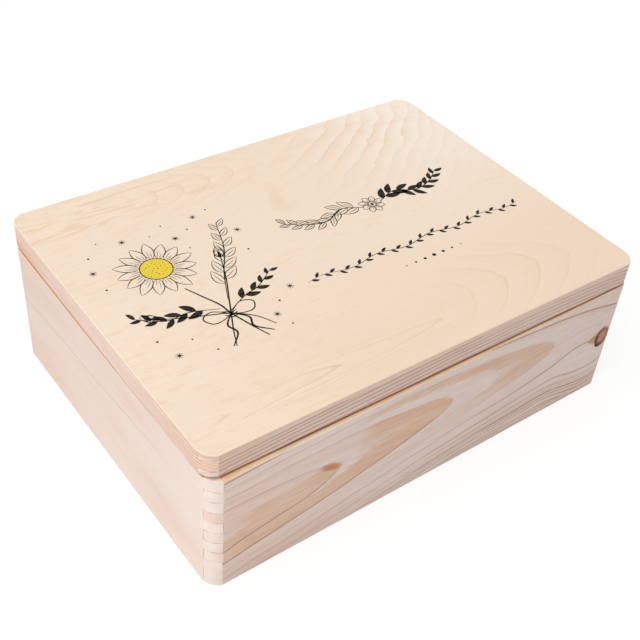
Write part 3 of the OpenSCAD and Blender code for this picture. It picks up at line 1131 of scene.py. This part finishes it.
class KEEPSAKE_OT_posy(Operator):
    """A posy printed on the left of the lid: a yellow-hearted daisy, two buds and leafy stems"""

    bl_idname = "keepsake.posy"
    bl_label = "Print the flower posy"

    def execute(self, context):
        given = context.scene.keepsake_print
        line, film = given.line / MM, given.film / MM
        ink = Drawing(LID_TOP - film, LID_TOP + 2 * film)
        yellow = Drawing(LID_TOP - film, LID_TOP + film)
        heart, radius = np.array((-133.0, 34.0)), 12.5
        tie = np.array((-112.0, -38.0))

        yellow.discs([heart], [radius], 72)
        draw_flower(ink, heart, radius, 15, 19.0, line, 0.1)
        # Seeds in the heart lie on a sunflower spiral: the angle grows by the golden angle, the
        # radius by the root of the count.
        seeds, golden_angle = 34, 2.39996
        count = np.arange(seeds)
        away = np.sqrt((count + 0.5) / seeds) * radius * 0.78
        places = heart + rays(count * golden_angle) * away[:, None]
        ink.discs(places, 0.34 + 0.12 * np.cos(count * 1.7), 10)

        # Three bare stems cross at the tie, and three leafy ones grow out above it.
        left_bud, right_bud = (-160.0, -18.0), (-84.0, 22.0)
        for upper, lower, width in (
            (((-126.5, 3), (-120, -12), (-114, -26)), ((-106, -58), (-101, -72)), 2.0),
            ((right_bud, (-94, -2), (-105, -24)), ((-121, -56), (-127, -70)), 1.6),
            ((left_bud, (-142, -26), (-124, -33)), ((-98, -50), (-90, -64)), 1.5),
        ):
            ink.lines(smooth_path((*upper, tie, *lower), 90)[None], line * width, 0.6)
        for corners, first, pairs, length, width, filled in (
            (((-106, -24), (-92, 4), (-76, 30), (-64, 62)), 0.2, 6, 17.0, 7.6, False),
            (((-116, -30), (-138, -22), (-156, -22), (-176, -8)), 0.2, 5, 13.5, 5.6, True),
            (((-108, -34), (-92, -26), (-78, -22), (-60, -10)), 0.25, 4, 12.0, 5.0, True),
        ):
            draw_branch(ink, corners, line, first, 0.9, pairs, length, width, filled)
        # Two buds: pointed cups on the ends of short stems.
        for foot, lean in ((right_bud, 74.0), (left_bud, 140.0)):
            ahead = rays(np.radians((lean - 24, lean, lean + 24)))
            feet, curl = np.array((foot,) * 3), (0.25, 0.0, -0.25)
            ribs, left, right = leaf_lines(feet, ahead, (10, 14, 10), (4.6, 7.4, 4.6), curl)
            ink.lines(left, line)
            ink.lines(right, line)
            ink.leaves(ribs[1:2, : INK_SAMPLES // 2], 2.6)
        # The ribbon: a band of close turns, two loops and two tails.
        turns = [
            smooth_path(((-5.2, low + 1.0), (0.0, low - 0.9), (5.2, low + 0.6)), 20)
            for low in np.linspace(-3.4, 3.4, 4)
        ]
        ink.lines(tie + np.stack(turns), line * 1.3, 0.6)
        loop = ((0, 0), (12, 8), (21, 4), (17, -4), (8, -4), (0, 0))
        tail = ((0, 0), (9, -10), (7, -20), (17, -31))
        for corners, width, ends in ((loop, 1.4, 0.6), (tail, 2.2, 0.5)):
            pair = [smooth_path([(s * x, y) for x, y in corners], 48) for s in (1, -1)]
            ink.lines(tie + np.stack(pair), line * width, ends)
        # Specks and four-rayed sparks scattered round the posy.
        specks = np.array((
            (-171, 70, 0.9), (-104, 80, 0.7), (-158, 84, 0.6), (-88, 66, 0.8), (-176, 30, 0.9),
            (-98, 44, 0.6), (-60, 20, 0.9), (-172, -38, 0.9), (-150, -48, 0.7), (-74, -44, 0.9),
            (-62, 82, 0.7), (-140, -66, 0.8), (-80, -70, 0.7), (-118, 72, 0.6),
        ))
        ink.discs(specks[:, :2], specks[:, 2], 12)
        sparks = np.array((
            (-140, 76), (-176, 52), (-76, 78), (-54, 46),
            (-166, -58), (-58, -34), (-84, -56), (-102, 60),
        ))
        arms = rays(np.radians((20, 65, 110, 155))) * 3.4
        t = np.linspace(-1, 1, 7)[None, None, :, None]
        paths = (sparks[:, None, None] + arms[None, :, None] * t).reshape(-1, 7, 2)
        ink.lines(paths, line * 0.9, 0.1)

        ink.make("posy_ink", ink_finish("posy_black_ink", given.ink, 0.16, 0.65))
        yellow.make("posy_flower_heart", ink_finish("posy_yellow_ink", given.flower, 0.2, 0.5))
        return {"FINISHED"}


class KEEPSAKE_OT_border(Operator):
    """Leaf borders printed on the right of the lid: a garland, a fine vine and a row of dots"""

    bl_idname = "keepsake.border"
    bl_label = "Print the leaf borders"

    def execute(self, context):
        given = context.scene.keepsake_print
        line, film = given.line / MM, given.film / MM
        ink = Drawing(LID_TOP - film, LID_TOP + 2 * film)
        middle = 62.0
        # The garland: two branches that meet at a small flower, each on a slow wave.
        for side in (1, -1):
            wave = ((9, 20), (28, 27), (47, 19), (66, 24), (80, 34))
            corners = [(middle + side * x, y) for x, y in wave]
            draw_branch(ink, corners, line * 1.15, 0.06, 0.93, 8, 15.0, 6.2, side > 0)
        flower = np.array((middle, 20.0))
        draw_flower(ink, flower, 3.4, 8, 8.0, line, 0.2)
        ink.discs([flower], [1.6], 16)
        # The vine: a long low wave with small filled leaves.
        x = np.linspace(-44, 172, 120)
        vine = np.stack((x, -38 + 2.2 * np.sin((x + 44) * np.pi / 27)), axis=1)
        ink.lines(vine[None], line * 0.9, 0.4)
        for side in (1, -1):
            shares = np.linspace(0.03, 0.97, 17) + side * 0.012
            feet, ahead = walk(vine, shares)
            ahead = turned(ahead, side * math.radians(50))
            ribs, _, _ = leaf_lines(feet, ahead, 6.4, 2.6, -side * 0.25)
            ink.leaves(ribs, 2.6)
        # The dots: a short row, largest in the middle.
        place = np.linspace(-1, 1, 7)
        row = np.stack((middle + place * 28, np.full(7, -60.0)), axis=1)
        ink.discs(row, 1.7 - 1.1 * np.abs(place), 16)
        ink.make("border_ink", ink_finish("border_black_ink", given.ink, 0.16, 0.65))
        return {"FINISHED"}


# Stage


class StageSettings(PropertyGroup):
    """The camera, the light and the floor."""

    lens: number("Lens", "Focal length", 58.712, 10, 300, unit="CAMERA")
    sky: number("Room light", "Strength of the even light from all round", 0.50, 0, 4)
    key: number(
        "Key lamp", "Power of the broad lamp above the left side", 59.0, 0, 1000, subtype="POWER"
    )
    fill: number(
        "Fill lamp", "Power of the small lamp low at the front left", 0.9, 0, 100, subtype="POWER"
    )
    back: number(
        "Back lamp", "Power of the small lamp behind the right side", 0.7, 0, 100, subtype="POWER"
    )
    floor: tint("Floor", "Colour of the floor", 236, 235, 233)


CAMERA_AT = (-0.4261, -0.5143, 0.6236)
CAMERA_AIM = (-0.0075, -0.0096, 0.06)
CAMERA_ROLL = math.radians(5.33)
FLOOR_REACH = 6.0
# How strongly the floor glows of itself, and how much of that the camera sees in its place.
FLOOR_GLOW, GLOW_SHARE = 1.12, 0.72


def facing(at, towards):
    """The turn that makes a lamp or a camera at one place look towards another."""
    return (Vector(towards) - Vector(at)).to_track_quat("-Z", "Y")


def area_lamp(name, at, towards, size, power):
    light = bpy.data.lights.new(name, "AREA")
    light.shape = "RECTANGLE"
    light.size, light.size_y = size
    light.energy = power
    made = bpy.data.objects.new(name, light)
    bpy.context.scene.collection.objects.link(made)
    made.location = at
    made.rotation_mode = "QUATERNION"
    made.rotation_quaternion = facing(at, towards)


def floor_finish(colour):
    """Pale paper that glows a little to the camera, so that it stays as light as in the photo."""
    bench = Finish("floor_paper", colour)
    bench.cover(bench.noise(bench.coords["Object"], 90.0, 3.0) * 0.04, shade(220, 220, 220))
    bench.shine(0.9, 0.1)
    glow = bench.node("ShaderNodeEmission")
    glow.inputs["Strength"].default_value = FLOOR_GLOW
    seen = bench.named(bench.node("ShaderNodeLightPath"))["Is Camera Ray"]
    mix = bench.node("ShaderNodeMixShader")
    bench.feed(mix.inputs[0], seen * GLOW_SHARE)
    bench.tree.links.new(bench.shader.outputs[0], mix.inputs[1])
    bench.tree.links.new(glow.outputs[0], mix.inputs[2])
    bench.tree.links.new(mix.outputs[0], bench.find("OUTPUT_MATERIAL").inputs["Surface"])
    return bench.material


class KEEPSAKE_OT_stage(Operator):
    """A pale floor, soft studio light and the camera"""

    bl_idname = "keepsake.stage"
    bl_label = "Set the stage"

    def execute(self, context):
        scene = context.scene
        stage = scene.keepsake_stage
        scene.view_settings.view_transform = "Standard"

        camera = bpy.data.objects.new("camera", bpy.data.cameras.new("camera"))
        scene.collection.objects.link(camera)
        camera.data.lens = stage.lens
        camera.data.sensor_fit = "HORIZONTAL"
        camera.data.sensor_width = 36
        camera.data.clip_start, camera.data.clip_end = 0.02, 50
        turn = facing(CAMERA_AT, CAMERA_AIM).to_matrix().to_4x4()
        roll = Matrix.Rotation(CAMERA_ROLL, 4, "Z")
        camera.matrix_world = Matrix.Translation(CAMERA_AT) @ turn @ roll
        scene.camera = camera

        # The room: full light where the camera or a reflection sees it, and the set strength
        # where it lights the box.
        world = bpy.data.worlds.new("room")
        scene.world = world
        world.use_nodes = True
        bench = Bench(world.node_tree)
        sky = bench.find("BACKGROUND")
        sky.inputs["Color"].default_value = (1, 1, 1, 1)
        path = bench.named(bench.node("ShaderNodeLightPath"))
        seen = bench.maths("MAXIMUM", path["Is Camera Ray"], path["Is Glossy Ray"])
        seen = bench.maths("MAXIMUM", seen, path["Is Transmission Ray"])
        bench.feed(sky.inputs["Strength"], bench.step(seen, 0.0, 1.0, stage.sky, 1.0))

        mesh = bpy.data.meshes.new("floor")
        low, high = -FLOOR_REACH, FLOOR_REACH
        corners = [(low, low, 0), (high, low, 0), (high, high, 0), (low, high, 0)]
        mesh.from_pydata(corners, [], [(0, 1, 2, 3)])
        mesh.materials.append(floor_finish(stage.floor))
        floor = bpy.data.objects.new("floor", mesh)
        scene.collection.objects.link(floor)

        area_lamp("key_lamp", (-1.6, -0.1, 2.95), (0.0, 0.0, 0.08), (2.4, 2.4), stage.key)
        area_lamp("back_lamp", (0.8, 0.7, 0.75), (0.1, 0.1, 0.13), (0.5, 0.5), stage.back)
        area_lamp("fill_lamp", (-0.75, -0.45, 0.3), (-0.2, -0.1, 0.06), (0.4, 0.3), stage.fill)
        return {"FINISHED"}


class KEEPSAKE_PT_panel(Panel):
    """Lists the steps that finish the box."""

    bl_idname = "KEEPSAKE_PT_panel"
    bl_label = "Keepsake box"
    bl_space_type = "VIEW_3D"
    bl_region_type = "UI"
    bl_category = "Keepsake box"

    def draw(self, context):
        for step in STEPS:
            self.layout.operator(step.bl_idname)


SETTINGS = (
    ("keepsake_pine", PineSettings),
    ("keepsake_plywood", PlywoodSettings),
    ("keepsake_hardware", HardwareSettings),
    ("keepsake_print", PrintSettings),
    ("keepsake_stage", StageSettings),
)
STEPS = (
    KEEPSAKE_OT_stage,
    KEEPSAKE_OT_walls,
    KEEPSAKE_OT_rails,
    KEEPSAKE_OT_plywood,
    KEEPSAKE_OT_hinges,
    KEEPSAKE_OT_posy,
    KEEPSAKE_OT_border,
)


def register():
    for made in (*(group for _, group in SETTINGS), *STEPS, KEEPSAKE_PT_panel):
        bpy.utils.register_class(made)
    for name, group in SETTINGS:
        setattr(bpy.types.Scene, name, PointerProperty(type=group))


def unregister():
    for name, _ in SETTINGS:
        delattr(bpy.types.Scene, name)
    for made in (KEEPSAKE_PT_panel, *reversed(STEPS), *(group for _, group in SETTINGS)):
        bpy.utils.unregister_class(made)


def main():
    register()
    make_groups()
    for step in STEPS:
        family, name = step.bl_idname.split(".")
        getattr(getattr(bpy.ops, family), name)()


if __name__ == "__main__":
    main()
